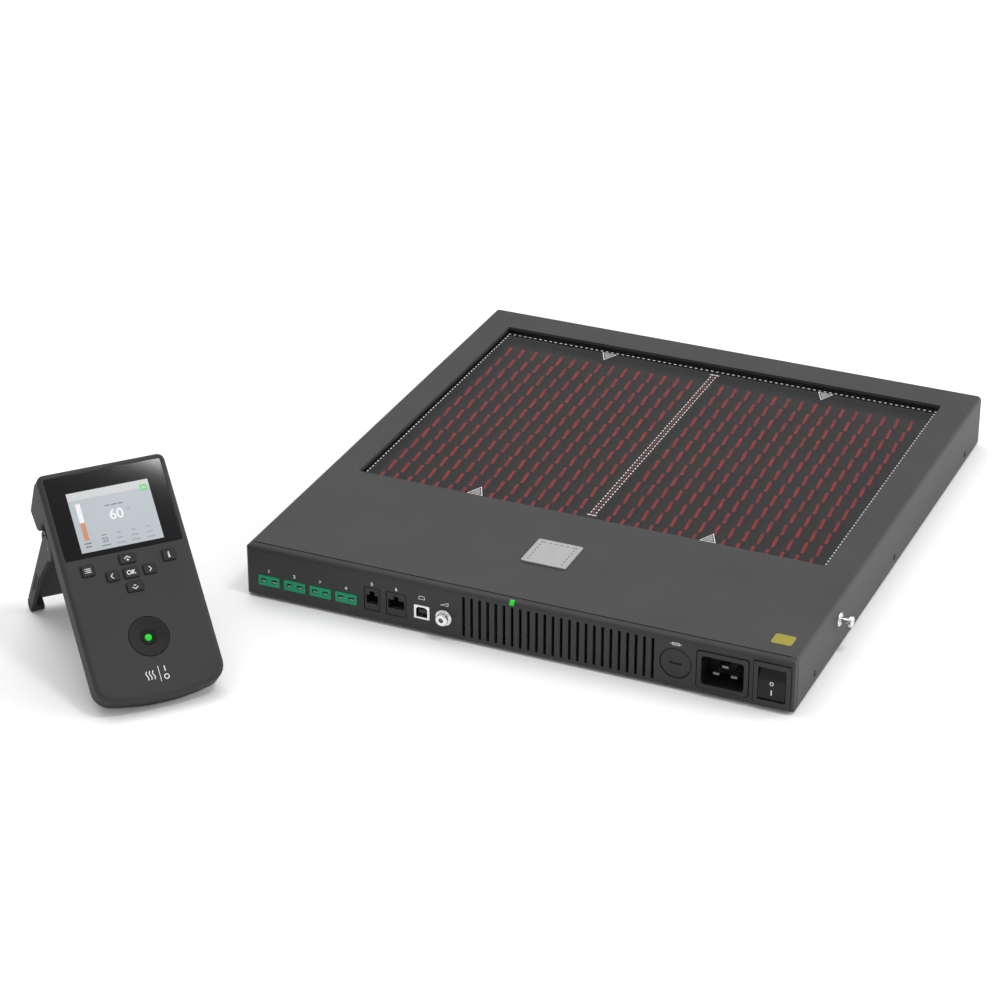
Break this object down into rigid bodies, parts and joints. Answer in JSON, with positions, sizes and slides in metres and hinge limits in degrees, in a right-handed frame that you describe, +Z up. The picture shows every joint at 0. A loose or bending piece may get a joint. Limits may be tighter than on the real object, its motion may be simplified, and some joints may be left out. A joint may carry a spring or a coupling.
{
  "type": "pcb preheater",
  "caption": "Flat bottom-side heater for circuit boards with a smoked glass window over red ribbons, a row of front sockets and a leaning desktop console with screen and keys.",
  "frame": {"origin": "middle of the overall box, on the bench surface under the feet", "axes": "+Y from the socket panel to the housing's back, +X to the right along the panel, +Z up"},
  "size_m": [0.5602, 0.6369, 0.1292],
  "materials": {
    "painted_sheet": "fine textured matt paint",
    "plated_sheet": "dull plated sheet",
    "panel_plastic": "fine matt grain",
    "heater_glass": "smooth smoked glass",
    "gasket": "matt",
    "insulation": "pressed fibre",
    "hot_ribbon": "dull red heat",
    "ceramic": "unglazed",
    "circuit_board": "satin",
    "aluminium": "fine brushed",
    "bright_metal": "bright plated",
    "gold_contact": "bright",
    "black_plastic": "satin",
    "green_plastic": "satin",
    "green_lamp": "lit lens",
    "foot_rubber": "matt",
    "dark_screw": "satin",
    "console_plastic": "fine matt grain",
    "display_pane": "polished",
    "lit_screen": "smooth lit screen",
    "key_plastic": "satin"
  },
  "bodies": {
    "housing_and_console": {"base_tray": "plated_sheet", "top_cover": "painted_sheet", "connector_panel": "panel_plastic", "rear_panel": "painted_sheet", "heater_glass": "heater_glass", "glass_gasket": "gasket", "glass_frame": "plated_sheet", "insulation_left": "insulation", "insulation_right": "insulation", "ribbons_left": "hot_ribbon", "ribbons_right": "hot_ribbon", "heater_terminals": "ceramic", "bulkhead": "plated_sheet", "control_board": "circuit_board", "power_board": "circuit_board", "heatsink": "aluminium", "board_standoffs": "plated_sheet", "tc_socket_1": "green_plastic", "tc_socket_2": "green_plastic", "tc_socket_3": "green_plastic", "tc_socket_4": "green_plastic", "tc_contacts": "bright_metal", "narrow_jack": "black_plastic", "wide_jack": "black_plastic", "jack_contacts": "gold_contact", "usb_socket": "bright_metal", "usb_tongue": "black_plastic", "pedal_jack": "bright_metal", "status_light": "green_lamp", "fuse_holder": "black_plastic", "mains_inlet": "black_plastic", "inlet_pins": "bright_metal", "switch_frame": "black_plastic", "side_stud_left": "bright_metal", "side_stud_right": "bright_metal", "rubber_feet": "foot_rubber", "cover_screws": "dark_screw", "top_plate": "aluminium", "console_front_shell": "console_plastic", "console_rear_shell": "console_plastic", "display_window": "display_pane", "display_panel": "lit_screen", "console_board": "circuit_board", "kickstand_pins": "dark_screw", "console_screws": "bright_metal"},
    "switch_rocker": {"switch_rocker": "black_plastic"},
    "fuse_cap": {"fuse_cap": "black_plastic", "fuse_link": "bright_metal"},
    "kickstand": {"kickstand": "console_plastic", "stand_feet": "foot_rubber"},
    "heat_button": {"heat_button": "key_plastic", "heat_light": "green_lamp"},
    "key_menu": {"key_menu": "key_plastic"},
    "key_up": {"key_up": "key_plastic"},
    "key_info": {"key_info": "key_plastic"},
    "key_left": {"key_left": "key_plastic"},
    "key_ok": {"key_ok": "key_plastic"},
    "key_right": {"key_right": "key_plastic"},
    "key_down": {"key_down": "key_plastic"}
  },
  "joints": [
    {"name": "rocker_tip", "type": "hinge", "parent": "housing_and_console", "child": "switch_rocker", "pos_m": [0.2544, -0.1241, 0.0209], "axis": [1, 0, 0], "range_deg": [0, 22]},
    {"name": "fuse_cap_turn", "type": "hinge", "parent": "housing_and_console", "child": "fuse_cap", "pos_m": [0.1845, -0.1275, 0.0209], "axis": [0, 1, 0], "range_deg": [0, 90]},
    {"name": "stand_fold", "type": "hinge", "parent": "housing_and_console", "child": "kickstand", "pos_m": [-0.202, -0.21771, 0.08034], "axis": [-0.673, -0.7396, 0], "range_deg": [0, 80]},
    {"name": "heat_button_press", "type": "slide", "parent": "housing_and_console", "child": "heat_button", "axis": [-0.5129, 0.4667, -0.7206], "range_m": [0, 0.0008], "stiffness_N_per_m": 800},
    {"name": "key_menu_press", "type": "slide", "parent": "housing_and_console", "child": "key_menu", "axis": [-0.5129, 0.4667, -0.7206], "range_m": [0, 0.0008], "stiffness_N_per_m": 800},
    {"name": "key_up_press", "type": "slide", "parent": "housing_and_console", "child": "key_up", "axis": [-0.5129, 0.4667, -0.7206], "range_m": [0, 0.0008], "stiffness_N_per_m": 800},
    {"name": "key_info_press", "type": "slide", "parent": "housing_and_console", "child": "key_info", "axis": [-0.5129, 0.4667, -0.7206], "range_m": [0, 0.0008], "stiffness_N_per_m": 800},
    {"name": "key_left_press", "type": "slide", "parent": "housing_and_console", "child": "key_left", "axis": [-0.5129, 0.4667, -0.7206], "range_m": [0, 0.0008], "stiffness_N_per_m": 800},
    {"name": "key_ok_press", "type": "slide", "parent": "housing_and_console", "child": "key_ok", "axis": [-0.5129, 0.4667, -0.7206], "range_m": [0, 0.0008], "stiffness_N_per_m": 800},
    {"name": "key_right_press", "type": "slide", "parent": "housing_and_console", "child": "key_right", "axis": [-0.5129, 0.4667, -0.7206], "range_m": [0, 0.0008], "stiffness_N_per_m": 800},
    {"name": "key_down_press", "type": "slide", "parent": "housing_and_console", "child": "key_down", "axis": [-0.5129, 0.4667, -0.7206], "range_m": [0, 0.0008], "stiffness_N_per_m": 800}
  ]
}
